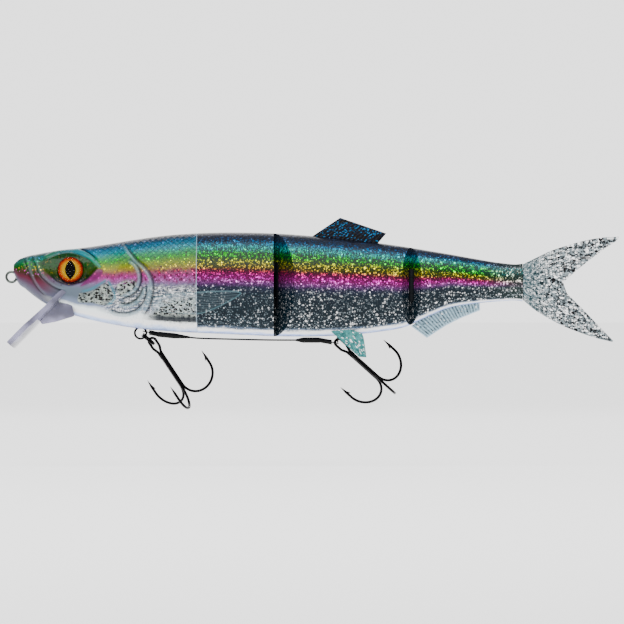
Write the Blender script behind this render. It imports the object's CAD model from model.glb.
"""A jointed swimbait: hard head, three soft glitter sections and a forked tail, with hooks and a leader."""

import bmesh
import bpy
import numpy as np
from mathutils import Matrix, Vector


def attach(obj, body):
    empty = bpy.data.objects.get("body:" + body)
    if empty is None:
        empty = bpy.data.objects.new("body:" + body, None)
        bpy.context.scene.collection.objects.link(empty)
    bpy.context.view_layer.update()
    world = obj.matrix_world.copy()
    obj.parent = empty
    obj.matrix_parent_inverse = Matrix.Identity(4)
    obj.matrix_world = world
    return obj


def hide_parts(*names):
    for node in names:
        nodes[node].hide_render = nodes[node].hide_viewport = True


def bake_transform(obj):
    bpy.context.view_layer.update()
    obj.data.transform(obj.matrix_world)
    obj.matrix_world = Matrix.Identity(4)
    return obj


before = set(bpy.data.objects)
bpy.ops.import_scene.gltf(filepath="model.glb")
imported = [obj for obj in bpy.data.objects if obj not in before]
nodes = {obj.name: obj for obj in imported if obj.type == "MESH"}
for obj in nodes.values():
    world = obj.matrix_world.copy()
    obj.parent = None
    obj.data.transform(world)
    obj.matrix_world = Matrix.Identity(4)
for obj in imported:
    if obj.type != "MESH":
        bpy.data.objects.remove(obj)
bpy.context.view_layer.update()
MM = 0.001

# ---- the body's form, in mm

# x, top, bottom, half width
STATIONS = np.array([
    (0.7, 5.0, 2.2, 1.0), (2.5, 6.9, -2.0, 3.1), (5.9, 8.5, -5.1, 5.0), (11.8, 9.8, -9.7, 7.2),
    (19.3, 11.1, -13.7, 8.9), (28.6, 12.1, -16.8, 10.3), (38.6, 13.5, -19.2, 11.3), (52.1, 15.7, -21.5, 12.2),
    (65.5, 17.5, -22.8, 12.7), (78.1, 18.4, -23.5, 12.9), (94.1, 18.7, -24.2, 12.8),
    (110.5, 18.3, -24.9, 12.3), (125.2, 17.3, -25.0, 11.5), (139.9, 15.8, -24.5, 10.4),
    (154.6, 14.2, -23.0, 9.1), (164.6, 12.8, -21.2, 8.2), (175.6, 11.0, -16.4, 7.2), (184.0, 9.6, -13.0, 6.2),
    (194.5, 7.7, -11.2, 5.0), (205.0, 6.0, -10.2, 4.0), (212.5, 5.4, -9.9, 3.4), (218.0, 6.3, -11.0, 3.0),
])
HEAD_START, HEAD_END = 0.95, 78.1
WALL = 1.7
SEAM_GAP = 0.05
EYE = np.array((25.1, 3.0))
EYE_SEAT_RADIUS, EYE_SEAT = 5.5, 7.98
FLANK_HALF = 12.9  # half width where the pectoral fin lies


def smooth(low, high, value):
    t = np.clip((value - low) / (high - low), 0, 1)
    return t * t * (3 - 2 * t)


def bell(value, width):
    return np.exp(-((value / width) ** 2))


def station(x, column):
    """The body's top, bottom or half width at x, on a smooth curve through the stations."""
    xs, ys = STATIONS[:, 0], STATIONS[:, column]
    slopes = np.gradient(ys, xs)
    x = np.clip(x, xs[0], xs[-1])
    i = np.clip(np.searchsorted(xs, x) - 1, 0, len(xs) - 2)
    h = xs[i + 1] - xs[i]
    t = (x - xs[i]) / h
    return (
        (2 * t**3 - 3 * t**2 + 1) * ys[i]
        + (t**3 - 2 * t**2 + t) * h * slopes[i]
        + (3 * t**2 - 2 * t**3) * ys[i + 1]
        + (t**3 - t**2) * h * slopes[i + 1]
    )


def body_point(x, angle, inset=0.0):
    """A point of the body's surface, with angle from the back round by the right flank."""
    top, bottom, half = station(x, 1), station(x, 2), station(x, 3)
    tall = np.maximum((top - bottom) / 2 - inset, 0.05)
    wide = np.maximum(half - inset, 0.05)
    y = wide * np.sin(angle)
    z = (top + bottom) / 2 + tall * np.cos(angle)
    normal = np.stack([np.zeros_like(y), y / wide**2, (z - (top + bottom) / 2) / tall**2], -1)
    normal /= np.maximum(np.linalg.norm(normal, axis=-1, keepdims=True), 1e-9)
    return np.stack([np.broadcast_to(x, y.shape), y, z], -1), normal


def spline(points, steps=12):
    """A smooth line through points."""
    p = np.array(points, float)
    p = np.vstack([2 * p[0] - p[1], p, 2 * p[-1] - p[-2]])
    t = np.linspace(0, 1, steps, endpoint=False)[:, None]
    line = []
    for a, b, c, d in zip(p, p[1:], p[2:], p[3:]):
        bend, twist = 2 * a - 5 * b + 4 * c - d, 3 * b - a - 3 * c + d
        line.append(0.5 * (2 * b + (c - a) * t + bend * t**2 + twist * t**3))
    return np.vstack(line + [p[-2:-1]])


def from_line(x, z, line):
    """Distance to a line, signed positive on the left of its direction, and how far along it, from 0 to 1."""
    p = np.stack([x, z], -1).reshape(-1, 1, 2)
    a, b = line[:-1][None], line[1:][None]
    d = b - a
    t = np.clip(((p - a) * d).sum(-1) / np.maximum((d**2).sum(-1), 1e-12), 0, 1)
    near = a + d * t[..., None]
    gap = np.linalg.norm(p - near, axis=-1)
    k = gap.argmin(1)
    rows = np.arange(len(k))
    off = p[:, 0] - near[rows, k]
    step = (line[1:] - line[:-1])[k]
    sign = np.where(step[:, 0] * off[:, 1] - step[:, 1] * off[:, 0] >= 0, 1, -1)
    along = (k + t[rows, k]) / (len(line) - 1)
    return (gap[rows, k] * sign).reshape(x.shape), along.reshape(x.shape)


def inside(x, z, corners, soft=0.5):
    """1 inside a rounded outline, 0 outside it, with a soft edge."""
    line = spline(list(corners) + [corners[0]], 8)
    gap, _ = from_line(x, z, line)
    px, pz = x.reshape(-1, 1), z.reshape(-1, 1)
    ax, az, bx, bz = line[:-1, 0], line[:-1, 1], line[1:, 0], line[1:, 1]
    tall = np.where(bz == az, 1e-9, bz - az)
    crossing = ((az > pz) != (bz > pz)) & (px < (bx - ax) * (pz - az) / tall + ax)
    within = (crossing.sum(1) % 2 == 1).reshape(x.shape)
    return smooth(-soft, soft, np.where(within, np.abs(gap), -np.abs(gap)))


# ---- relief of the head, in mm

GILL_EDGE = spline([
    (46.6, 14.2), (50.0, 9.8), (52.8, 6.4), (56.1, 3.6), (58.2, 0.8), (59.3, -2.9), (59.0, -7.6),
    (57.5, -12.5), (54.8, -16.4),
])
GILL_INNER = spline([
    (49.0, 7.6), (52.6, 5.2), (54.5, 1.5), (54.6, -2.3), (53.1, -5.5), (50.4, -7.7), (46.4, -9.0),
])
GILL_LOWER = spline([
    (40.8, -13.0), (44.2, -14.9), (48.4, -15.3), (52.6, -13.9), (55.9, -10.4), (57.2, -6.2), (57.0, -2.0),
])
GILL_MIDDLE = spline([(45.2, -10.9), (48.6, -11.6), (52.0, -10.2), (54.6, -7.4), (55.9, -3.6)])
CHEEK_RIDGE = spline([(40.6, -1.2), (42.4, -4.2), (43.8, -7.8), (43.2, -9.8), (40.0, -12.4)])
CHEEK_TOP = spline([(28.6, -6.4), (33.6, -5.2), (37.6, -3.0), (40.6, -1.2)])
NOSE_FOLD = spline([(5.4, 8.2), (6.4, 5.0), (8.0, 0.8), (10.2, -3.4), (12.4, -6.2), (15.6, -8.9)])
SNOUT_FOLD = spline([(8.6, 9.2), (10.2, 5.0), (12.2, 0.8), (15.5, -2.6), (19.2, -5.0), (24.0, -6.4)])
BROW_GAP = spline([(28.2, 11.9), (31.2, 10.9), (34.4, 9.0), (37.4, 6.2)])
SOCKET = [
    (11.6, 5.5), (16.2, 9.0), (20.4, 10.6), (24.6, 11.2), (28.8, 10.4), (33.0, 8.2), (36.8, 4.4), (34.6, 1.2),
    (31.9, -1.4), (28.6, -3.0), (24.6, -3.8), (19.7, -2.3), (16.0, 0.8),
]
BROW = [
    (14.2, 8.8), (19.0, 11.0), (24.4, 11.9), (29.6, 11.2), (34.2, 8.8), (37.9, 4.6), (36.8, 3.9), (33.0, 7.4),
    (28.4, 9.5), (24.0, 10.2), (19.4, 9.4), (15.0, 7.7),
]
LOBE = [(34.0, 2.2), (37.2, 3.3), (38.9, 2.0), (37.0, -0.7), (33.0, -2.8), (29.4, -3.9), (32.0, -0.9)]
CHEEK = [
    (28.8, -6.9), (34.4, -5.9), (40.5, -2.2), (41.7, -4.6), (43.0, -8.3), (41.0, -11.0), (39.0, -12.0),
    (34.4, -11.0), (28.6, -10.6),
]
WINDOW = [(44.6, -3.4), (48.4, -1.4), (53.4, -2.2), (52.3, -5.1), (49.8, -6.9), (46.0, -8.0), (44.8, -5.6)]
LOW_WINDOW = [
    (45.6, -12.6), (48.8, -12.9), (52.4, -11.6), (55.0, -8.7), (56.3, -4.4), (55.4, -4.8), (53.6, -8.0),
    (50.4, -10.3), (46.6, -10.9),
]
SIDE_WINDOW = [
    (58.6, -16.6), (61.4, -13.0), (64.8, -9.8), (77.6, -8.4), (86.0, -9.0), (80.0, -16.0), (76.0, -18.6),
    (66.0, -18.2),
]
PECTORAL = [
    (59.6, -8.8), (68.0, -7.2), (78.0, -6.5), (90.0, -6.0), (96.4, -6.9), (90.0, -11.0), (84.5, -13.6),
    (79.0, -15.3), (70.0, -15.0), (60.2, -13.6),
]


def pectoral_relief(x, z):
    """The pectoral fin moulded on the flank across the seam, with its rays."""
    shape = inside(x, z, PECTORAL, 0.55)
    slope = (z + 11.2) / np.maximum(x - 50.0, 1.0)
    rays = 0.5 + 0.5 * np.cos(slope * 230.0)
    return shape * (0.42 + 0.16 * rays), shape, shape * rays


def near(x, z, line, start, end, last=1.0):
    """Distance to a line, and a mask that grows over its first part and fades from end to last."""
    gap, along = from_line(x, z, line)
    return gap, smooth(0, start, along) * smooth(last, end, along)


def head_relief(x, z):
    """How far the head's surface stands out, and the masks that its paint follows."""
    gill, ends = near(x, z, GILL_EDGE, 0.12, 0.93)
    plate = smooth(-9.0, -0.6, gill) * smooth(0.35, -0.15, gill)
    rise = ends * (0.78 * plate - 0.4 * bell(gill - 0.75, 0.55))
    grooves = ends * bell(gill - 0.7, 0.5)
    lines = ends * bell(gill + 0.4, 0.6)
    for line, depth in ((GILL_INNER, 0.6), (GILL_LOWER, 0.6), (GILL_MIDDLE, 0.35)):
        gap, ends = near(x, z, line, 0.1, 0.9)
        ends = ends * (np.abs(gap) < 4)
        rise += ends * (depth * bell(gap + 0.75, 0.6) - depth * bell(gap - 0.1, 0.42))
        lines = np.maximum(lines, ends * bell(gap + 0.8, 0.6))
        grooves = np.maximum(grooves, ends * bell(gap - 0.15, 0.5))
    gap, ends = near(x, z, CHEEK_RIDGE, 0.08, 0.9)
    rise += ends * (0.5 * bell(gap, 0.55) - 0.2 * bell(gap + 1.1, 0.5))
    ridge = ends * bell(gap, 0.5)
    gap, ends = near(x, z, CHEEK_TOP, 0.2, 0.9, 1.02)
    rise += ends * 0.4 * bell(gap, 0.5)
    ridge = np.maximum(ridge, ends * bell(gap, 0.5))
    for line in (NOSE_FOLD, SNOUT_FOLD):
        gap, ends = near(x, z, line, 0.1, 0.85)
        rise += ends * (0.34 * bell(gap - 0.9, 0.8) - 0.42 * bell(gap + 0.05, 0.45))
        lines = np.maximum(lines, ends * bell(gap - 0.95, 0.4) * 0.4)
        grooves = np.maximum(grooves, ends * bell(gap - 0.05, 0.4) * 0.8)
    cheek = inside(x, z, CHEEK, 0.35)
    lobe, brow = inside(x, z, LOBE, 0.45), inside(x, z, BROW, 0.4)
    gap, ends = near(x, z, BROW_GAP, 0.25, 0.7)
    crack = ends * bell(gap, 0.42)
    fin, fin_shape, fin_rays = pectoral_relief(x, z)
    rise -= 0.38 * cheek
    rise -= 0.25 * inside(x, z, WINDOW, 0.35)
    rise -= 0.2 * inside(x, z, LOW_WINDOW, 0.3)
    rise += 0.55 * lobe
    rise += 0.5 * brow
    rise -= 0.6 * crack
    rise += fin
    windows = [cheek] + [
        inside(x, z, w, soft) for w, soft in ((WINDOW, 0.35), (LOW_WINDOW, 0.35), (SIDE_WINDOW, 1.6))
    ]
    mask = {
        "lines": lines, "grooves": grooves, "ridge": ridge, "window": np.maximum.reduce(windows),
        "lobe": lobe, "brow": brow, "crack": crack, "fin": fin_shape, "rays": fin_rays,
        "socket": inside(x, z, SOCKET, 0.5) * (1 - brow),
    }
    return rise, mask


def eye_limit(x, z):
    """The greatest half width round an eye: its seat, the rim, and the almond hollow."""
    d = np.hypot(x - EYE[0], z - EYE[1])
    almond = inside(x, z, SOCKET, 1.6)
    hollow = 8.35 + 0.20 * np.maximum(d - EYE_SEAT_RADIUS, 0)
    rim = 0.55 * bell(d - 6.05, 0.42)
    limit = np.where(almond > 0.001, hollow + rim + 6.0 * (1 - almond) ** 1.5, 99.0)
    return np.where(d < EYE_SEAT_RADIUS, np.minimum(limit, EYE_SEAT), limit)


def on_flank(y):
    """1 on the flank and 0 near the middle plane, where the pectoral fins end."""
    return smooth(0.2, 0.6, np.abs(y) / FLANK_HALF)


# ---- meshes

def mesh_object(name, points, faces, body, material, finish=None):
    mesh = bpy.data.meshes.new(name)
    mesh.from_pydata((np.asarray(points) * MM).tolist(), [], faces)
    mesh.validate()
    obj = bpy.data.objects.new(name, mesh)
    bpy.context.scene.collection.objects.link(obj)
    for m in material if isinstance(material, (list, tuple)) else [material]:
        mesh.materials.append(m)
    mesh.shade_smooth()
    if finish:
        finish(obj)
    if body:
        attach(obj, body)
    return obj


def store(obj, name, values):
    attribute = obj.data.attributes.new(name, "FLOAT_VECTOR" if np.ndim(values) == 2 else "FLOAT", "POINT")
    key = "vector" if np.ndim(values) == 2 else "value"
    attribute.data.foreach_set(key, np.asarray(values, np.float32).ravel())


def rest_points(obj):
    co = np.empty(len(obj.data.vertices) * 3)
    obj.data.vertices.foreach_get("co", co)
    return co.reshape(-1, 3) / MM


def store_fields(obj, p):
    """The rest position in mm, and the height on the flank: 0 at the belly and 1 at the back."""
    store(obj, "rest", p)
    top, bottom = station(p[:, 0], 1), station(p[:, 0], 2)
    store(obj, "v", (p[:, 2] - bottom) / (top - bottom))


def grid_faces(rows, columns, start=0, flip=False, closed=False):
    faces = []
    for i in range(rows - 1):
        for j in range(columns if closed else columns - 1):
            k = (j + 1) % columns
            a, b = start + i * columns + j, start + i * columns + k
            face = (a, b, b + columns, a + columns)
            faces.append(face[::-1] if flip else face)
    return faces


def tube_faces(rings, sides):
    """The faces of a closed tube, with its two ends."""
    ends = [tuple(range(sides))[::-1], tuple((rings - 1) * sides + i for i in range(sides))]
    return grid_faces(rings, sides, closed=True) + ends


def clean(obj, weld=None):
    """Turns the faces outward, after joining points nearer than weld, in metres."""
    bm = bmesh.new()
    bm.from_mesh(obj.data)
    if weld:
        bmesh.ops.remove_doubles(bm, verts=bm.verts, dist=weld)
        bmesh.ops.dissolve_degenerate(bm, edges=bm.edges, dist=1e-7)
    bmesh.ops.recalc_face_normals(bm, faces=bm.faces)
    bm.to_mesh(obj.data)
    bm.free()


def crease(obj, degrees):
    obj.data.set_sharp_from_angle(angle=np.radians(degrees))


def head_half(side, material):
    """One half of the hard head: its outer face with the relief, its inner face and the joining rims."""
    rows, columns = 236, 168
    u = np.linspace(0, 1, rows)[:, None]
    x = HEAD_START + (HEAD_END - SEAM_GAP - HEAD_START) * u
    angle = np.linspace(0, np.pi, columns)[None, :]
    x, angle = np.broadcast_arrays(x, angle)
    p, normal = body_point(x, angle)
    rise, mask = head_relief(p[..., 0], p[..., 2])
    off_seam = smooth(0.0, 0.35, np.sin(angle))
    rise = rise * off_seam * smooth(1.8, 6.0, x)
    p = p + normal * rise[..., None]
    limit = eye_limit(p[..., 0], p[..., 2])
    p[..., 1] = np.minimum(p[..., 1], limit)
    p[..., 1] = np.maximum(p[..., 1], 0.0)
    inner, _ = body_point(np.clip(x, 4.0, HEAD_END - SEAM_GAP), angle, WALL)
    inner[..., 1] = np.minimum(inner[..., 1], np.maximum(p[..., 1] - 0.9, 0.0))
    nose = smooth(11.8, 4.0, x)[..., None]  # where the two halves are nearly solid
    centre = np.stack([x, np.zeros_like(x), (station(x, 1) + station(x, 2)) / 2], -1)
    inner = inner * (1 - 0.9 * nose) + centre * 0.9 * nose
    inner[..., 0] = x
    count = rows * columns
    faces = grid_faces(rows, columns)
    faces += grid_faces(rows, columns, count, True)
    for i in range(rows - 1):
        for j in (0, columns - 1):
            a, b = i * columns + j, (i + 1) * columns + j
            quad = (a, b, b + count, a + count)
            faces.append(quad if j == 0 else quad[::-1])
    for j in range(columns - 1):
        for i in (0, rows - 1):
            a, b = i * columns + j, i * columns + j + 1
            quad = (a, b, b + count, a + count)
            faces.append(quad[::-1] if i == 0 else quad)
    points = np.vstack([p.reshape(-1, 3), inner.reshape(-1, 3)])
    points[:, 1] = np.where(points[:, 1] < 0.02, 0.01, points[:, 1]) * side
    if side < 0:
        faces = [f[::-1] for f in faces]

    def finish(obj):
        store_fields(obj, points)
        for key, values in mask.items():
            store(obj, key, np.concatenate([(values * off_seam).ravel(), np.zeros(count)]))

    name = "head_left" if side < 0 else "head_right"
    return mesh_object(name, points, faces, None, material, finish=finish)


def body_solid(name, front, rear, rows, columns, materials, relief=None, pockets=()):
    """A soft section between two ends, each given as (apex x, slope away from the middle plane)."""
    angle = np.linspace(0, 2 * np.pi, columns, endpoint=False)

    def end_line(apex, slope):
        x = np.full_like(angle, apex)
        for _ in range(12):  # settles where the slope meets the flank
            x = apex + slope * np.abs(station(x, 3) * np.sin(angle))
        return x

    first, last = end_line(*front), end_line(*rear)
    u = np.linspace(0, 1, rows)[:, None]
    x = first[None] * (1 - u) + last[None] * u
    p, normal = body_point(x, np.broadcast_to(angle, x.shape))
    if relief is not None:
        p = p + normal * relief(p)[..., None]
    points = [p.reshape(-1, 3)]
    faces = grid_faces(rows, columns, closed=True)
    marks = [0] * len(faces)
    across = 15  # points over the width of an end
    for ring, (apex, slope) in ((p[0], front), (p[-1], rear)):
        start = sum(len(q) for q in points)
        half = columns // 2
        c = np.linspace(1, -1, across)[None, :]
        right, left = ring[: half + 1], ring[(-np.arange(half + 1)) % columns]
        y = np.where(c >= 0, right[:, 1:2] * c, -left[:, 1:2] * c)
        z = np.where(c >= 0, right[:, 2:3], left[:, 2:3]) * np.ones_like(c)
        edge = np.where(c >= 0, right[:, 0:1], left[:, 0:1])
        reach = np.maximum(np.where(c >= 0, np.abs(right[:, 1:2]), np.abs(left[:, 1:2])), 1e-6)
        xs = apex + (edge - apex) * np.abs(y) / reach
        points.append(np.stack([xs, y, z], -1).reshape(-1, 3))
        block = grid_faces(half + 1, across, start)
        faces += block
        marks += [1] * len(block)
    obj = mesh_object(name, np.vstack(points), faces, None, materials)
    obj.data.polygons.foreach_set("material_index", marks[: len(obj.data.polygons)])
    clean(obj, weld=2e-6)
    for i, (centre, radius, low, high) in enumerate(pockets):
        cutter = round_bar(f"pocket_{i}", centre, radius, low, high, materials[1])
        cut = obj.modifiers.new("pocket", "BOOLEAN")
        cut.operation, cut.solver, cut.object = "DIFFERENCE", "EXACT", cutter
        cut.material_mode = "TRANSFER"
        bpy.context.view_layer.update()
        graph = bpy.context.evaluated_depsgraph_get()
        mesh = bpy.data.meshes.new_from_object(obj.evaluated_get(graph), depsgraph=graph)
        obj.modifiers.clear()
        obj.data = mesh
        bpy.data.objects.remove(cutter)
    for polygon in obj.data.polygons:
        if polygon.material_index > 1:
            polygon.material_index = 1
    while len(obj.data.materials) > 2:
        obj.data.materials.pop()
    store_fields(obj, rest_points(obj))
    obj.data.shade_smooth()
    crease(obj, 35)
    return obj


def round_bar(name, centre, radius, low, high, material):
    """An upright round bar, closed at both ends."""
    count = 48
    a = np.linspace(0, 2 * np.pi, count, endpoint=False)
    ring = np.stack([centre + radius * np.cos(a), radius * np.sin(a)], -1)
    points = [(x, y, low) for x, y in ring] + [(x, y, high) for x, y in ring]
    faces = [(i, (i + 1) % count, count + (i + 1) % count, count + i) for i in range(count)]
    faces += [tuple(range(count))[::-1], tuple(range(count, 2 * count))]
    mesh = bpy.data.meshes.new(name)
    mesh.from_pydata((np.array(points) * MM).tolist(), [], faces)
    mesh.materials.append(material)
    obj = bpy.data.objects.new(name, mesh)
    bpy.context.scene.collection.objects.link(obj)
    return obj


def walk(points, count, rounded=True):
    """count points spaced evenly along a line."""
    line = spline(points, 16) if rounded and len(points) > 2 else np.array(points, float)
    length = np.concatenate([[0], np.cumsum(np.linalg.norm(np.diff(line, axis=0), axis=1))])
    t = np.linspace(0, length[-1], count)
    return np.stack([np.interp(t, length, line[:, 0]), np.interp(t, length, line[:, 1])], -1)


def fin_mesh(
    name, root, edge, first, last, half, rays, depth, size, body, material,
    place=None, root_width=None, blend=None,
):
    """A fin between its root and its free edge, thin at the rim, with raised rays from root to edge."""
    nu, nv = size
    r, e, a, b = walk(root, nu), walk(edge, nu, rounded=False), walk(first, nv), walk(last, nv)
    u, v = np.linspace(0, 1, nu)[:, None, None], np.linspace(0, 1, nv)[None, :, None]
    flat = (1 - v) * r[:, None] + v * e[:, None] + (1 - u) * a[None] + u * b[None]
    flat -= (1 - u) * (1 - v) * r[0] + u * (1 - v) * r[-1] + (1 - u) * v * e[0] + u * v * e[-1]
    u, v = u[..., 0], v[..., 0]
    width = np.linalg.norm(flat[-1] - flat[0], axis=-1)[None, :]
    length = np.linalg.norm(np.diff(flat, axis=1), axis=-1).sum(1)[:, None]
    rim = np.minimum(np.minimum(u, 1 - u) * width, (1 - v) * length)
    taper = 0.34 + 0.66 * np.sqrt(np.clip(rim / 1.5, 0, 1))
    ridge = 0.5 + 0.5 * np.cos(2 * np.pi * rays * u)
    segment = 1 - 0.22 * smooth(0.8, 1.0, np.cos(2 * np.pi * v * length / 1.9))
    h = half(flat[..., 0], v) * taper
    h = h - depth * (1 - ridge * segment) * smooth(0, 0.12, v) * smooth(0, 1.2, rim)
    if root_width is not None:
        oval = root_width * np.sqrt(np.clip(1 - (2 * u - 1) ** 2, 0.004, 1))
        h = oval + (h - oval) * smooth(0.0, 0.34, v)
    h = np.maximum(h, 0.12)
    sheets = [np.stack([flat[..., 0], h * s, flat[..., 1]], -1).reshape(-1, 3) for s in (1, -1)]
    count = nu * nv
    faces = grid_faces(nu, nv) + grid_faces(nu, nv, count, True)
    loop = [i * nv for i in range(nu)] + [(nu - 1) * nv + j for j in range(1, nv)]
    loop += [i * nv + nv - 1 for i in range(nu - 2, -1, -1)] + list(range(nv - 2, 0, -1))
    faces += [(p, q, q + count, p + count) for p, q in zip(loop, loop[1:] + loop[:1])]
    points = np.vstack(sheets)
    if place:
        points = place(points)
    grid_u, grid_v = np.broadcast_arrays(u * width.mean(), v * length)

    def finish(obj):
        clean(obj)
        store_fields(obj, points)
        field = np.stack([grid_u, grid_v, np.zeros_like(grid_u)], -1).reshape(-1, 3)
        store(obj, "ray", np.vstack([field, field + (0, 0, 7.0)]))
        store(obj, "rim", np.tile(rim.ravel(), 2))
        store(obj, "ridge", np.tile(np.broadcast_to(ridge, rim.shape).ravel(), 2))
        if blend:
            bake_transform(obj)

    return mesh_object(name, points, faces, body, material, finish=finish)


def tube(name, points, radius, body, material, blend=None, sides=14):
    """A round wire along a smooth line in the middle plane."""
    line = spline(points, 24)
    step = np.gradient(line, axis=0)
    step /= np.linalg.norm(step, axis=1, keepdims=True)
    a = np.linspace(0, 2 * np.pi, sides, endpoint=False)
    rings = []
    for (x, z), (tx, tz) in zip(line, step):
        rings += [(x - tz * radius * np.cos(k), radius * np.sin(k), z + tx * radius * np.cos(k)) for k in a]
    def finish(obj):
        store(obj, "rest", rest_points(obj))
        if blend:
            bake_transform(obj)

    return mesh_object(name, rings, tube_faces(len(line), sides), body, material, finish=finish)


# ---- materials

LEVELS = np.linspace(-10.0, 4.0, 300)
SHARE = (LEVELS + 12.47393) / 16.5
TONES = np.polyval((15.5, -40.14, 31.96, -6.868, 0.4298, 0.1191, -0.00232), SHARE)
EXPOSURE = 2.0
RICHNESS = 1.25


def linear(r, g, b):
    """The surface colour that is seen as r, g, b in the studio's light."""
    light = 2.0 ** np.interp(np.array((r, g, b)) / 255, TONES, LEVELS) / EXPOSURE
    grey = max(float(light @ (0.2126, 0.7152, 0.0722)), 1e-4)
    rich = grey * (light / grey) ** RICHNESS
    return (*np.clip(rich, 0.0008, 0.95), 1.0)


class Paint:
    """A material and short ways to add its nodes."""

    def __init__(self, name, **sockets):
        self.material = bpy.data.materials.new(name)
        self.material.use_nodes = True
        self.tree = self.material.node_tree
        self.tree.nodes.clear()
        self.out = self.tree.nodes.new("ShaderNodeOutputMaterial")
        self.shader = self.tree.nodes.new("ShaderNodeBsdfPrincipled")
        self.tree.links.new(self.shader.outputs[0], self.out.inputs[0])
        for key, value in sockets.items():
            self.set(key.replace("_", " ").title().replace("Ior", "IOR"), value)

    def node(self, kind, *values, **props):
        n = self.tree.nodes.new("ShaderNode" + kind)
        for key, value in props.items():
            setattr(n, key, value)
        for i, value in enumerate(values):
            self.feed(n.inputs[i], value)
        return n

    def feed(self, socket, value):
        if value is None:
            return
        if isinstance(value, bpy.types.NodeSocket):
            self.tree.links.new(value, socket)
        else:
            socket.default_value = value

    def attribute(self, name, vector=False):
        n = self.node("Attribute", attribute_name=name, attribute_type="GEOMETRY")
        return n.outputs["Vector" if vector else "Fac"]

    def math(self, operation, a, b=None, c=None, clamp=False):
        return self.node("Math", a, b, c, operation=operation, use_clamp=clamp).outputs[0]

    def times(self, first, *factors):
        for factor in factors:
            first = self.math("MULTIPLY", first, factor)
        return first

    def step(self, value, low, high, to=(0.0, 1.0)):
        return self.node("MapRange", value, low, high, *to, interpolation_type="SMOOTHSTEP").outputs[0]

    def ramp(self, value, stops):
        n = self.node("ValToRGB", value)
        elements = n.color_ramp.elements
        for position, _ in sorted(stops)[1:-1]:
            elements.new(position)
        for element, (position, colour) in zip(elements, sorted(stops)):
            element.position = position
            element.color = linear(*colour)
        return n.outputs[0]

    def mix(self, factor, a, b):
        n = self.node("Mix", data_type="RGBA")
        for i, value in ((0, factor), (6, a), (7, b)):
            self.feed(n.inputs[i], value)
        return n.outputs[2]

    def over(self, colour, tint, *shares):
        """colour under a coat of tint, an r, g, b or a socket, as thick as the product of the shares."""
        return self.mix(self.times(*shares), colour, linear(*tint) if isinstance(tint, tuple) else tint)

    def place(self):
        """The position on a part that doesn't bend, in mm."""
        return self.stretch(self.node("NewGeometry").outputs["Position"], (1 / MM,) * 3)

    def stretch(self, vector, scale):
        return self.node("VectorMath", vector, tuple(scale), operation="MULTIPLY").outputs[0]

    def noise(self, vector, scale, detail=3.0, rough=0.55):
        n = self.node("TexNoise")
        for key, value in (("Vector", vector), ("Scale", scale), ("Detail", detail), ("Roughness", rough)):
            self.feed(n.inputs[key], value)
        return n.outputs["Fac"]

    def flakes(self, vector, size, cover, density):
        """Glitter of about size mm: a mask of round flakes, how bright each is, and its tilt.

        cover is a flake's share of its cell, and density the share of cells with a flake.
        """
        n = self.node("TexVoronoi")
        self.feed(n.inputs["Vector"], vector)
        self.feed(n.inputs["Scale"], 1.0 / size)
        pick, light, wide = self.node("SeparateColor", n.outputs["Color"]).outputs
        reach = self.math("MULTIPLY_ADD", wide, cover * 0.6, cover * 0.4)
        mask = self.math("MULTIPLY", self.math("SUBTRACT", reach, n.outputs["Distance"]), 9.0, clamp=True)
        return self.times(mask, self.math("LESS_THAN", pick, density)), light, n.outputs["Color"]

    def bump(self, height, distance, strength=1.0):
        n = self.node("Bump")
        for key, value in (("Height", height), ("Distance", distance), ("Strength", strength)):
            self.feed(n.inputs[key], value)
        return n.outputs[0]

    def tilted(self, tilts, normal):
        """The surface normal, turned for each flake by its own tilt. tilts lists (mask, tilt, amount)."""
        for mask, tilt, amount in tilts:
            lean = self.node("VectorMath", tilt, (0.5, 0.5, 0.5), operation="SUBTRACT").outputs[0]
            scaled = self.node("VectorMath", lean, operation="SCALE")
            self.feed(scaled.inputs["Scale"], self.times(mask, amount))
            normal = self.node("VectorMath", normal, scaled.outputs[0], operation="ADD").outputs[0]
        return self.node("VectorMath", normal, operation="NORMALIZE").outputs[0]

    def most(self, a, b):
        return b if a is None else self.math("MAXIMUM", a, b)

    def set(self, key, value):
        self.feed(self.shader.inputs[key], value)


FLANK = [
    (0.0, (140, 150, 176)), (0.018, (196, 204, 224)), (0.036, (240, 245, 255)), (0.05, (232, 238, 252)),
    (0.066, (150, 162, 176)), (0.085, (30, 54, 66)), (0.2, (10, 36, 46)), (0.4, (12, 38, 52)),
    (0.465, (42, 44, 74)), (0.5, (120, 70, 126)), (0.555, (140, 34, 116)), (0.605, (108, 16, 76)),
    (0.635, (88, 40, 50)), (0.66, (84, 76, 20)), (0.7, (70, 84, 4)), (0.75, (26, 80, 8)),
    (0.805, (0, 80, 50)), (0.85, (0, 94, 102)), (0.89, (8, 88, 108)), (0.915, (50, 68, 86)),
    (0.965, (64, 68, 82)), (0.988, (34, 36, 48)), (1.0, (10, 10, 16)),
]
GLINT = [
    (0.0, (255, 255, 255)), (0.12, (246, 252, 255)), (0.44, (244, 248, 255)), (0.5, (250, 200, 246)),
    (0.565, (248, 104, 216)), (0.625, (250, 120, 160)), (0.655, (240, 210, 110)), (0.72, (236, 240, 20)),
    (0.765, (110, 226, 0)), (0.81, (0, 216, 110)), (0.85, (0, 226, 206)), (0.89, (0, 200, 224)),
    (0.93, (60, 150, 190)), (1.0, (60, 70, 100)),
]


# Flakes of each size: size, cover, density and strength
BODY_FLAKES = ((0.62, 0.6, 0.8, 0.75), (0.9, 0.56, 0.32, 1.0), (1.3, 0.54, 0.11, 1.0))


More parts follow.
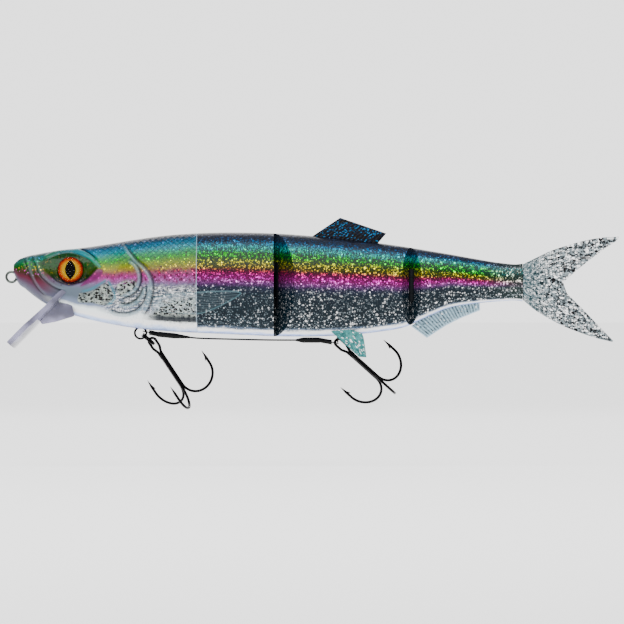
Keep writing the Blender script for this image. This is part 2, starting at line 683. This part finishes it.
def soft_body(name, shade=1.0):
    """Soft vinyl, clear over printed bands of colour, full of glitter of three sizes."""
    p = Paint(name, roughness=0.24, coat_weight=0.04, coat_roughness=0.05, specular_ior_level=0.1)
    rest = p.attribute("rest", True)
    v = p.attribute("v")
    x = p.node("SeparateXYZ", rest).outputs[0]
    # The bands wander a little, and sink towards the tail.
    wander = p.math("SUBTRACT", p.noise(p.stretch(rest, (0.35, 1, 1)), 0.55, 4.0), 0.5)
    sink = p.times(p.step(v, 0.84, 0.66), p.step(v, 0.2, 0.42), p.step(x, 150.0, 210.0, (0.0, 0.12)))
    height = p.math("ADD", p.math("MULTIPLY_ADD", wander, 0.05, v), sink)
    if shade < 1.0:
        height = p.math("MAXIMUM", height, 0.15)  # no pearl belly on the faces inside a joint
    back = p.step(height, 0.90, 0.95, (1.0, 0.3))
    belly = p.step(height, 0.035, 0.075)
    fade = p.step(x, 196.0, 213.0)
    low = p.step(height, 0.54, 0.46)
    mottled = p.noise(rest, 1.5, 4.0, 0.8)
    shadow = p.times(p.step(mottled, 0.42, 0.60, (0.0, 0.8)), belly)
    colour = p.mix(shadow, p.ramp(height, FLANK), (0.003, 0.004, 0.008, 1))
    colour = p.over(colour, (44, 62, 60), fade, belly, 0.9)
    glint = p.over(p.ramp(height, GLINT), (226, 236, 232), fade, 0.8)
    glint = p.over(glint, (96, 132, 146), low, p.step(x, 118.0, 100.0, (0.0, 0.42)))
    sparse = p.math("MAXIMUM", p.step(height, 0.36, 0.14, (0.62, 1.0)), p.step(height, 0.44, 0.54))
    glitter, tilts = None, []
    for size, cover, density, strong in BODY_FLAKES:
        fine = size < 0.8
        mask, light, tilt = p.flakes(rest, size, cover, density)
        mask = p.times(mask, p.times(back, belly, sparse))
        amount = p.times(mask, p.math("POWER", light, 1.3 if fine else 0.5), strong)
        colour = p.mix(amount, colour, p.over(glint, (84, 140, 152), low, 0.6) if fine else glint)
        glitter = p.most(glitter, amount)
        tilts.append((mask, tilt, 0.9))
    streak = p.noise(p.stretch(rest, (3.4, 1.0, 0.5)), 1.0, 2.0)
    band = p.times(p.step(height, 0.79, 0.83), p.step(height, 0.90, 0.86))
    colour = p.over(colour, (60, 226, 230), band, p.step(streak, 0.52, 0.72, (0.0, 0.45)))
    # The part of the pectoral fin that runs on past the seam.
    fin = p.attribute("fin")
    rays = p.mix(p.attribute("rays"), linear(24, 38, 46), linear(118, 134, 140))
    colour = p.over(colour, rays, fin, 0.45)
    colour = p.over(colour, (130, 160, 166), p.step(fin, 0.05, 0.4), p.step(fin, 0.98, 0.6), 0.4)
    if shade < 1.0:
        colour = p.mix(1.0 - shade, colour, linear(8, 34, 48))
    p.set("Base Color", colour)
    p.set("Metallic", p.times(glitter, 0.85))
    p.set("Normal", p.tilted(tilts, p.bump(p.noise(rest, 1.6, 3.0), 0.0001, 0.5)))
    return p.material


HEAD = [
    (0.0, (150, 158, 184)), (0.03, (200, 208, 230)), (0.07, (236, 241, 255)), (0.145, (222, 230, 250)),
    (0.205, (156, 164, 178)), (0.3, (124, 134, 144)), (0.42, (126, 136, 146)), (0.49, (144, 136, 158)),
    (0.535, (160, 118, 156)), (0.585, (158, 80, 138)), (0.625, (156, 110, 124)), (0.655, (158, 140, 86)),
    (0.7, (150, 154, 10)), (0.745, (118, 150, 0)), (0.785, (44, 150, 56)), (0.825, (4, 156, 120)),
    (0.875, (8, 148, 158)), (0.93, (36, 120, 142)), (0.972, (40, 66, 90)), (1.0, (10, 12, 20)),
]
NOSE = [
    (0.0, (140, 144, 158)), (0.16, (130, 124, 140)), (0.26, (112, 78, 104)), (0.38, (108, 20, 62)),
    (0.48, (84, 36, 40)), (0.55, (70, 74, 8)), (0.64, (36, 96, 10)), (0.76, (6, 104, 50)),
    (0.9, (44, 120, 104)), (1.0, (50, 84, 96)),
]


# half the pace of the diamond scales along the body and up it, in radians per mm
SCALE_ALONG, SCALE_UP = 0.62, 0.78
INK = (4, 6, 8)
SOCKET_TINTS = [
    (0.0, (44, 20, 54)), (0.18, (0, 56, 10)), (0.34, (64, 84, 0)), (0.6, (0, 88, 0)), (1.0, (0, 80, 40)),
]
BROW_TINTS = [(0.0, (54, 130, 96)), (0.35, (30, 128, 138)), (0.75, (34, 150, 158)), (1.0, (70, 150, 140))]


def head_paint():
    """Printed scales, speckled windows and metallic bands under clear lacquer."""
    p = Paint("head_print", roughness=0.28, coat_weight=0.12, coat_roughness=0.02, specular_ior_level=0.1)
    rest = p.attribute("rest", True)
    xyz = p.node("SeparateXYZ", rest)
    x, z = xyz.outputs[0], xyz.outputs[2]
    v = p.attribute("v")
    wander = p.math("SUBTRACT", p.noise(rest, 0.16, 4.0), 0.5)
    height = p.math("MULTIPLY_ADD", wander, 0.09, v)
    glint = p.ramp(height, GLINT)
    colour = p.mix(p.step(x, 24.0, 11.0), p.ramp(height, HEAD), p.ramp(height, NOSE))
    # Diamond scales along the back and the flank.
    along, up = p.times(x, SCALE_ALONG), p.times(z, SCALE_UP)
    crossing = [p.times(p.math(way, along, up), 2.0) for way in ("ADD", "SUBTRACT")]
    scale = p.math("MINIMUM", *[p.math("ABSOLUTE", p.math("SINE", k)) for k in crossing])
    back = p.times(p.step(height, 0.70, 0.80), p.step(x, 32.0, 44.0))
    flank = p.times(p.step(x, 55.0, 62.0), p.step(height, 0.30, 0.42))
    scaled = p.math("MAXIMUM", back, p.times(flank, 0.6))
    colour = p.over(colour, (18, 60, 76), p.step(scale, 0.0, 0.42, (1.0, 0.0)), scaled, 0.75)
    # Silver lilac cheek and flank with streaks.
    cheek = p.times(p.step(height, 0.50, 0.44), p.step(x, 36.0, 44.0))
    silver = p.times(cheek, p.step(height, 0.13, 0.20, (0.15, 1.0)))
    for stretch, noise, low, most, tint in (
        ((0.5, 1.0, 2.6), (0.7, 4.0, 0.65), 0.46, 0.9, (240, 246, 250)),
        ((2.4, 1.0, 0.6), (0.8, 4.0, 0.7), 0.50, 0.85, (34, 44, 52)),
        ((1.0, 1.0, 1.0), (2.0, 3.0, 0.8), 0.52, 0.75, (26, 38, 46)),
    ):
        streak = p.noise(p.stretch(rest, stretch), *noise)
        colour = p.over(colour, tint, silver, p.step(streak, low, 0.6, (0.0, most)))
    # Speckled grey windows.
    window = p.times(p.attribute("window"), p.math("SUBTRACT", 1.0, p.attribute("lines")))
    cloud = p.mix(p.step(p.noise(rest, 0.8, 4.0), 0.3, 0.7), linear(96, 104, 106), linear(190, 194, 190))
    colour = p.over(colour, cloud, window, 0.9)
    spots, _, _ = p.flakes(p.stretch(rest, (1.0, 1.0, 1.25)), 1.05, 0.78, 0.7)
    colour = p.over(colour, INK, spots, window)
    # The pectoral fin, with its own specks.
    fin = p.attribute("fin")
    colour = p.over(colour, (196, 204, 208), p.attribute("rays"), 0.35)
    colour = p.over(colour, (96, 128, 134), p.step(fin, 0.05, 0.4), p.step(fin, 0.98, 0.6), 0.7)
    colour = p.over(colour, INK, spots, window, p.step(x, 57.0, 59.0))
    # A few dark freckles on the nose and the cheek.
    freckle, _, _ = p.flakes(rest, 1.5, 0.42, 0.24)
    colour = p.over(colour, (60, 20, 40), freckle, p.step(height, 0.32, 0.42, (0.0, 0.75)))
    # Magenta dashes in the band.
    dash, _, _ = p.flakes(p.stretch(rest, (1.0, 1.0, 0.6)), 1.05, 0.8, 0.62)
    band = p.times(p.step(height, 0.46, 0.56), p.step(height, 0.70, 0.62))
    colour = p.over(colour, (112, 0, 74), dash, band, p.step(x, 40.0, 58.0, (0.35, 0.85)))
    # Dark flecks between the scales.
    fleck = p.step(p.noise(rest, 1.7, 3.0, 0.8), 0.5, 0.6, (0.0, 0.55))
    upper = p.step(height, 0.46, 0.60)
    colour = p.over(colour, (4, 20, 24), fleck, upper, p.step(x, 36.0, 50.0))
    # Glitter.
    area = p.math("MAXIMUM", upper, p.times(silver, 0.5))
    glitter, tilts = None, []
    for size, cover, density in ((0.65, 0.6, 0.45), (1.15, 0.5, 0.32)):
        mask, light, tilt = p.flakes(rest, size, cover, density)
        tilts.append((p.times(mask, area), tilt, 0.8))
        amount = p.times(mask, p.step(light, 0.2, 1.0), area)
        colour = p.mix(amount, colour, glint)
        glitter = p.most(glitter, amount)
    # Dark line above the pearl belly, behind the gills.
    line = p.times(p.step(v, 0.095, 0.115), p.step(v, 0.19, 0.14), p.step(x, 54.0, 62.0))
    colour = p.over(colour, (36, 44, 54), line, 0.95)
    # Gill lines, ridges, the lobe behind the eye, the brow and the socket.
    lobe = p.mix(p.noise(rest, 0.8), linear(64, 8, 56), linear(150, 62, 134))
    for part, tint, share in (
        ("grooves", (30, 40, 46), 0.9), ("lines", (158, 176, 182), 0.6), ("ridge", (96, 150, 160), 0.85),
        ("lobe", lobe, 0.9),
    ):
        colour = p.over(colour, tint, p.attribute(part), share)
    socket = p.ramp(p.step(z, -4.0, 11.0), SOCKET_TINTS)
    socket = p.over(socket, (0, 16, 6), p.step(p.noise(rest, 0.9, 4.0, 0.75), 0.5, 0.62, (0.0, 0.75)))
    socket = p.over(socket, (150, 130, 10), p.step(p.noise(rest, 1.0, 4.0, 0.7), 0.58, 0.68, (0.0, 0.8)))
    colour = p.over(colour, socket, p.attribute("socket"))
    colour = p.over(colour, p.ramp(p.step(x, 13.0, 38.0), BROW_TINTS), p.attribute("brow"), 0.9)
    colour = p.over(colour, (6, 10, 16), p.attribute("crack"))
    # The pale edge of the shell at its seam with the soft body.
    colour = p.over(colour, (206, 214, 220), p.step(x, 77.7, 77.8, (0.0, 0.32)))
    p.set("Base Color", colour)
    p.set("Metallic", p.times(glitter, 0.85))
    relief = p.math("MULTIPLY_ADD", p.noise(rest, 1.2, 2.0), 0.12, p.times(scale, scaled))
    p.set("Normal", p.tilted(tilts, p.bump(relief, 0.00022, 0.55)))
    return p.material


def fin_paint(name, dark, pale, flake, ray, cover, edge, sizes, streak=1.6, root=None):
    """Soft vinyl fin: rays between a dark and a pale tint, with flakes lying along the rays."""
    p = Paint(name, roughness=0.3, coat_weight=0.02, coat_roughness=0.1, specular_ior_level=0.08)
    rest, along = p.attribute("rest", True), p.attribute("ray", True)
    tone = p.noise(rest, 0.8, 4.0, 0.65)
    colour = p.mix(p.step(tone, 0.36, 0.62), linear(*dark), linear(*pale))
    colour = p.over(colour, ray, p.attribute("ridge"), 0.45)
    glitter, tilts = None, []
    for size, wide, density in sizes:
        mask, light, tilt = p.flakes(p.stretch(along, (1.0, 1.0 / streak, 1.0)), size, wide, density)
        amount = p.times(mask, cover)
        tilts.append((amount, tilt, 0.5))
        shade = p.mix(p.step(light, 0.5, 0.64), linear(*flake[0]), linear(*flake[1]))
        colour = p.mix(amount, colour, shade)
        glitter = p.most(glitter, amount)
    if root:
        start, end, tint = root
        x = p.node("SeparateXYZ", rest).outputs[0]
        colour = p.over(colour, tint, p.step(x, start, end, (0.5, 0.0)))
    if edge:
        colour = p.over(colour, edge, p.step(p.attribute("rim"), 0.75, 0.25, (0.0, 0.8)))
    p.set("Base Color", colour)
    p.set("Metallic", p.times(glitter, 0.15))
    p.set("Normal", p.tilted(tilts, p.bump(p.math("ADD", glitter, tone), 0.00008, 0.4)))
    return p.material


def brighter(tint, by):
    return tuple(min(255, c + by) for c in tint)


def metal(name, tint, rough, wear, metallic=1.0):
    """Polished or plated metal with fine drawing marks and small scuffs."""
    p = Paint(name, metallic=metallic)
    place = p.place()
    scuff = p.noise(place, 1.4, 5.0, 0.7)
    worn = p.step(scuff, 0.45, 0.8, (0.0, wear * 3))
    p.set("Base Color", p.mix(worn, linear(*tint), linear(*brighter(tint, 60))))
    p.set("Roughness", p.step(scuff, 0.3, 0.8, (rough, rough + 0.22)))
    p.set("Normal", p.bump(p.noise(place, 5.0, 3.0), 0.00003, 0.35))
    return p.material


def plain_plastic(name, tint, rough):
    """Moulded or shrunk plastic with a fine uneven surface."""
    p = Paint(name, specular_ior_level=0.12)
    place = p.place()
    tone = p.noise(place, 0.8, 4.0, 0.6)
    p.set("Base Color", p.mix(tone, linear(*tint), linear(*brighter(tint, 8))))
    p.set("Roughness", p.step(tone, 0.3, 0.7, (rough - 0.08, rough + 0.1)))
    p.set("Normal", p.bump(p.noise(place, 4.0, 3.0), 0.00005, 0.4))
    return p.material


def clear_plastic():
    """Clear lavender-grey polycarbonate with faint flow lines and handling marks."""
    gloss = {"roughness": 0.08, "coat_weight": 0.4, "coat_roughness": 0.02}
    p = Paint("clear_lip", transmission_weight=0.35, ior=1.45, **gloss)
    place = p.place()
    flow = p.noise(p.stretch(place, (0.6, 0.3, 0.6)), 0.14, 2.0, 0.5)
    p.set("Base Color", p.mix(p.step(flow, 0.35, 0.65), linear(140, 139, 153), linear(198, 197, 208)))
    p.set("Normal", p.bump(p.noise(place, 0.3, 2.0), 0.0001, 0.2))
    return p.material


IRIS_REACH = 5.6  # where the rim's dark red ends, in mm
IRIS_TINTS = [
    (0.0, (184, 176, 0)), (0.60, (188, 168, 0)), (0.74, (180, 120, 0)), (0.84, (150, 50, 4)),
    (0.92, (110, 14, 8)), (1.0, (40, 0, 2)),
]
PUPIL_HALF = 2.15


def iris_paint():
    """A printed foil eye: red rim, yellow iris with orange veins, and an upright slit pupil."""
    p = Paint("iris_print", roughness=0.3, coat_weight=0.02, coat_roughness=0.05, specular_ior_level=0.04)
    xyz = p.node("SeparateXYZ", p.place())
    x = p.math("SUBTRACT", xyz.outputs[0], float(EYE[0]))
    z = p.math("SUBTRACT", xyz.outputs[2], float(EYE[1]))
    radius = p.math("SQRT", p.math("ADD", p.times(x, x), p.times(z, z)))
    ring = p.node("CombineXYZ", p.times(p.math("ARCTAN2", z, x), 3.2), p.times(radius, 0.55), 0.0).outputs[0]
    wavy = p.noise(ring, 1.6, 4.0, 0.65)
    reach = p.math("MULTIPLY_ADD", p.math("SUBTRACT", wavy, 0.5), 1.6, radius)
    colour = p.ramp(p.math("DIVIDE", reach, IRIS_REACH), IRIS_TINTS)
    vein = p.noise(ring, 3.0, 5.0, 0.75)
    colour = p.over(colour, (160, 74, 0), p.step(vein, 0.55, 0.66, (0.0, 0.8)))
    wide = p.math("SUBTRACT", PUPIL_HALF, p.times(z, z, 0.13))
    slit = p.step(p.math("SUBTRACT", p.math("ABSOLUTE", x), wide), 0.2, -0.04)
    p.set("Base Color", p.mix(slit, colour, (0.0015, 0.0015, 0.0015, 1)))
    p.set("Normal", p.bump(p.math("ADD", vein, wavy), 0.00004, 0.3))
    return p.material


def resin(name):
    """The clear dome over an eye: nearly invisible but for its gloss."""
    p = Paint(name, base_color=(0.01, 0.01, 0.01, 1), ior=1.5, specular_ior_level=0.5, alpha=0.07)
    p.set("Roughness", p.step(p.noise(p.place(), 0.5, 3.0), 0.3, 0.7, (0.015, 0.05)))
    return p.material


# ---- the pieces

print_head = head_paint()
skin = soft_body("soft_skin")
joint = soft_body("soft_joint_face", 0.8)
core = plain_plastic("core_nylon", (2, 7, 12), 0.55)

FRONT_HINGE, REAR_HINGE = 112.4, 168.0
# Each hinge's pocket: x, radius, low, high
FRONT_POCKET = (FRONT_HINGE, 2.6, -13.24, 6.24)
REAR_POCKET = (REAR_HINGE, 2.3, -10.24, 3.24)
TAIL_BEND = ("rear_section", "tail", (0.207, 0, 0), (0.222, 0, 0))

for side, node in ((-1, "head_shell_left"), (1, "head_shell_right")):
    half = head_half(side, print_head)
    crease(half, 50)
    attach(half, "head")
    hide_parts(node)


def front_relief(p):
    rise, _, _ = pectoral_relief(p[..., 0], p[..., 2])
    return rise * on_flank(p[..., 1])


front = body_solid("front_skin", (78.15, 0), (110.12, 0), 110, 260, [skin, joint], front_relief)
place = rest_points(front)
_, fin_shape, fin_rays = pectoral_relief(place[:, 0], place[:, 2])
store(front, "fin", fin_shape * on_flank(place[:, 1]))
store(front, "rays", fin_rays * on_flank(place[:, 1]))
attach(front, "head")
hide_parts("front_soft_section")

pockets = [FRONT_POCKET, REAR_POCKET]
middle = body_solid("middle_skin", (110.1, 0.754), (167.71, -0.48), 130, 220, [skin, joint], pockets=pockets)
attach(middle, "mid_section")
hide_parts("mid_soft_section")

rear = body_solid("rear_skin", (167.69, 0.60), (214.6, 0), 120, 180, [skin, joint], pockets=[REAR_POCKET])
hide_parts("rear_soft_section")
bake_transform(rear)


def washer(name, x, radius, z, body):
    """A thin nylon ring between two knuckles of a hinge, with rounded edges."""
    count, bore, tall, round_off = 56, 0.95, 0.115, 0.05
    flat, edge = tall, tall - round_off
    top = [(bore, edge), (bore + round_off, flat), (radius - round_off, flat), (radius, edge)]
    profile = top + [(r, -h) for r, h in reversed(top)]
    a = np.linspace(0, 2 * np.pi, count, endpoint=False)
    points = [(x + r * np.cos(k), r * np.sin(k), z + h) for k in a for r, h in profile]
    n = len(profile)
    faces = [
        (i * n + j, i * n + (j + 1) % n, (i + 1) % count * n + (j + 1) % n, (i + 1) % count * n + j)
        for i in range(count)
        for j in range(n)
    ]
    return mesh_object(name, points, faces, body, core)


for i, z in enumerate((6.12, 1.875, -8.875, -13.12)):
    washer(f"front_washer_{i}", FRONT_HINGE, 2.25, z, "head")
for i, z in enumerate((3.12, -0.125, -6.875, -10.12)):
    washer(f"rear_washer_{i}", REAR_HINGE, 1.95, z, "mid_section")

# Flakes of each size: size, cover and density
DORSAL_FLAKES = ((0.6, 0.6, 0.55), (0.95, 0.55, 0.35))
ANAL_FLAKES = ((0.7, 0.55, 0.5),)
PELVIC_FLAKES = ((0.65, 0.62, 0.6), (1.05, 0.55, 0.4))
TAIL_FLAKES = ((0.62, 0.8, 0.8), (1.0, 0.65, 0.45))


def fin_half(x, v):
    """Half the thickness of the dorsal and anal fins, from root to edge."""
    return 0.8 - 0.3 * v


dorsal_paint = fin_paint(
    "dorsal_flakes", (0, 0, 1), (0, 4, 14), ((0, 46, 84), (0, 160, 190)), (0, 1, 6), 0.75, (4, 12, 28),
    DORSAL_FLAKES, 1.15,
)
dorsal = fin_mesh(
    "dorsal", [(125.2, 16.4), (140.0, 15.0), (153.4, 13.6)], [(138.0, 24.9), (157.4, 18.3)],
    [(125.2, 16.4), (138.0, 24.9)], [(153.4, 13.6), (157.4, 18.3)],
    fin_half, 15, 0.18, (150, 60), "mid_section", dorsal_paint,
)
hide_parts("dorsal_fin")

anal_paint = fin_paint(
    "anal_rays", (74, 90, 98), (150, 166, 172), ((60, 80, 88), (246, 252, 252)), (206, 216, 222), 0.7,
    (196, 206, 212), ANAL_FLAKES,
)
anal = fin_mesh(
    "anal", [(167.8, -20.7), (171.5, -18.0), (176.0, -15.4), (184.0, -12.2), (196.6, -10.4)],
    [(174.5, -25.6), (178.6, -22.9), (182.5, -20.4), (188.6, -17.3), (196.8, -14.0)],
    [(167.8, -20.7), (174.5, -25.6)], [(196.6, -10.4), (196.8, -14.0)],
    fin_half, 22, 0.22, (170, 40), "rear_section", anal_paint,
)
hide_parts("anal_fin")

PELVIC_LEAN = np.radians(20.0)
pelvic_paint = fin_paint(
    "pelvic_flakes", (60, 116, 118), (130, 178, 176), ((100, 160, 164), (250, 255, 255)), (90, 150, 150), 0.9,
    (90, 150, 150), PELVIC_FLAKES, 1.2,
)
for side, node in ((-1, "pelvic_fin_left"), (1, "pelvic_fin_right")):
    origin = np.array((132.5, side * 4.2, -22.0))
    axes = np.array((
        (1.0, 0, 0),
        (0, np.cos(PELVIC_LEAN), side * np.sin(PELVIC_LEAN)),
        (0, -side * np.sin(PELVIC_LEAN), np.cos(PELVIC_LEAN)),
    ))
    pelvic = fin_mesh(
        node.replace("_fin", ""), [(0.5, 0.3), (7.5, 0.2), (14.5, -1.7)], [(13.4, -12.2), (16.5, -12.4)],
        [(0.5, 0.3), (13.4, -12.2)], [(14.5, -1.7), (15.4, -4.2), (16.5, -12.4)],
        lambda x, v: 0.55 - 0.2 * v, 11, 0.12, (90, 80), "mid_section", pelvic_paint,
        place=lambda points, origin=origin, axes=axes: origin + points @ axes,
    )
    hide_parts(node)

tail_paint = fin_paint(
    "tail_flakes", (8, 12, 20), (186, 192, 194), ((2, 5, 10), (244, 248, 248)), (120, 128, 132), 1.0, None,
    TAIL_FLAKES, root=(214.0, 228.0, (84, 124, 130)),
)
tail = fin_mesh(
    "tail", [(214.8, 5.4), (214.8, -9.7)],
    [(255.0, 16.9), (254.4, 15.4), (249.6, 12.2), (244.0, 8.1), (236.9, 2.5), (232.5, -1.6), (231.9, -2.8),
     (232.2, -3.9), (233.3, -6.9), (240.5, -14.1), (247.6, -21.6), (252.7, -26.8), (252.4, -27.3)],
    [(214.8, 5.4), (221.4, 8.6), (227.4, 11.3), (238.8, 14.8), (247.6, 16.5), (255.0, 16.9)],
    [(214.8, -9.7), (221.1, -14.7), (231.8, -20.6), (244.1, -25.2), (252.4, -27.3)],
    lambda x, v: np.interp(x, (214.5, 228.0, 257.0), (2.4, 1.3, 0.6)), 27, 0.2, (230, 150), None,
    tail_paint, root_width=3.0, blend=TAIL_BEND,
)
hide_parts("tail_fin")

LEADER_BEND = ("head", "mid_section", (0.0745, 0, 0), (0.1195, 0, 0))
LEADER = [(73.5, -25.2), (79.0, -25.72), (90.0, -26.05), (104.0, -26.38), (112.0, -26.48), (121.0, -26.5)]
leader_coat = plain_plastic("leader_coat", (1, 1, 2), 0.4)
wire = tube("leader_line", LEADER, 0.36, None, leader_coat, LEADER_BEND)
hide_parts("leader_wire")


def wrap(name, start, end, turns, body, radius=0.78, thick=0.3):
    """The leader's end wound round the two legs of its loop."""
    a, b = np.array((start[0], 0, start[1])), np.array((end[0], 0, end[1]))
    along = (b - a) / np.linalg.norm(b - a)
    up, side = np.cross(along, (0, 1, 0)), np.array((0, 1.0, 0))
    count, sides = turns * 18, 8
    rings = []
    for t in np.linspace(0, 1, count):
        w = 2 * np.pi * turns * t
        out = up * np.cos(w) + side * np.sin(w)
        middle = a + (b - a) * t + out * radius
        for c in np.linspace(0, 2 * np.pi, sides, endpoint=False):
            rings.append(middle + (out * np.cos(c) + along * np.sin(c)) * thick)
    clean(mesh_object(name, rings, tube_faces(count, sides), body, leader_coat))


wrap("front_wrap", (57.9, -23.29), (61.6, -24.04), 7, "head")
wrap("rear_wrap", (134.4, -27.39), (129.3, -26.48), 10, "mid_section")

# ---- finishes of the CAD nodes

FINISHES = [
    (metal("black_nickel", (16, 15, 17), 0.14, 0.06),
     ("front_split_ring", "front_treble", "rear_treble", "belly_hanger", "rear_hook_anchor")),
    (metal("tie_steel", (118, 124, 120), 0.2, 0.2), ("tow_eye",)),
    (metal("pin_steel", (90, 92, 96), 0.3, 0.2), ("front_hinge_pin", "rear_hinge_pin")),
    (metal("crimp_brass", (158, 124, 70), 0.3, 0.2), ("leader_front_crimp", "leader_rear_crimp")),
    (metal("cast_lead", (104, 104, 110), 0.5, 0.3, 0.9), ("belly_ballast",)),
    (plain_plastic("heat_shrink", (2, 2, 3), 0.5), ("leader_front_sleeve", "leader_rear_sleeve")),
    (leader_coat, ("leader_front_loop", "leader_rear_loop")),
    (core, ("front_core", "mid_core", "rear_core")),
    (clear_plastic(), ("diving_lip",)),
    (iris_paint(), ("left_eye", "right_eye")),
    (resin("eye_resin"), ("left_eye_lens", "right_eye_lens")),
]
for material, names in FINISHES:
    for name in names:
        materials = nodes[name].data.materials
        materials.clear()
        materials.append(material)

# ---- floor, light and camera

FLOOR_HEIGHT, FLOOR_GLOW = -0.08, 1.95  # low enough for a hook that hangs straight down
OBJECT_LIGHT, BACKDROP_LIGHT = 0.36, 2.3

bpy.ops.mesh.primitive_plane_add(size=60.0, location=(0.126, 0, FLOOR_HEIGHT))
floor = bpy.context.object
floor.name = "floor"
ground = Paint("pale_floor", roughness=0.9, specular_ior_level=0.1, base_color=(0.3, 0.3, 0.3, 1))
ground.set("Emission Color", (1, 1, 1, 1))
ground.set("Emission Strength", FLOOR_GLOW)
floor.data.materials.append(ground.material)

world = bpy.data.worlds.new("studio")
bpy.context.scene.world = world
world.use_nodes = True
background = world.node_tree.nodes["Background"]
background.inputs[0].default_value = (1, 1, 1, 1)
path = world.node_tree.nodes.new("ShaderNodeLightPath")
level = world.node_tree.nodes.new("ShaderNodeMapRange")
level.inputs["To Min"].default_value = OBJECT_LIGHT
level.inputs["To Max"].default_value = BACKDROP_LIGHT
world.node_tree.links.new(path.outputs["Is Camera Ray"], level.inputs["Value"])
world.node_tree.links.new(level.outputs[0], background.inputs[1])


def area_light(name, place, aim, size, power):
    light = bpy.data.lights.new(name, "AREA")
    light.shape, light.size, light.energy = "DISK", size, power
    obj = bpy.data.objects.new(name, light)
    obj.location = place
    obj.rotation_euler = (Vector(aim) - Vector(place)).to_track_quat("-Z", "Y").to_euler()
    bpy.context.scene.collection.objects.link(obj)


area_light("key", (0.02, -0.65, 0.8), (0.12, 0, 0), 1.1, 19.0)
area_light("back", (0.1, 0.9, 0.7), (0.12, 0, 0), 1.0, 7.0)

camera_data = bpy.data.cameras.new("camera")
camera_data.lens, camera_data.sensor_width = 300.0, 36.0  # long, as the picture is nearly flat
camera_data.clip_start, camera_data.clip_end = 0.05, 100.0
camera = bpy.data.objects.new("camera", camera_data)
camera.location = (0.1262, -2.184, -0.0147)
camera.rotation_euler = (np.radians(90.0), 0, 0)
bpy.context.scene.collection.objects.link(camera)
bpy.context.scene.camera = camera
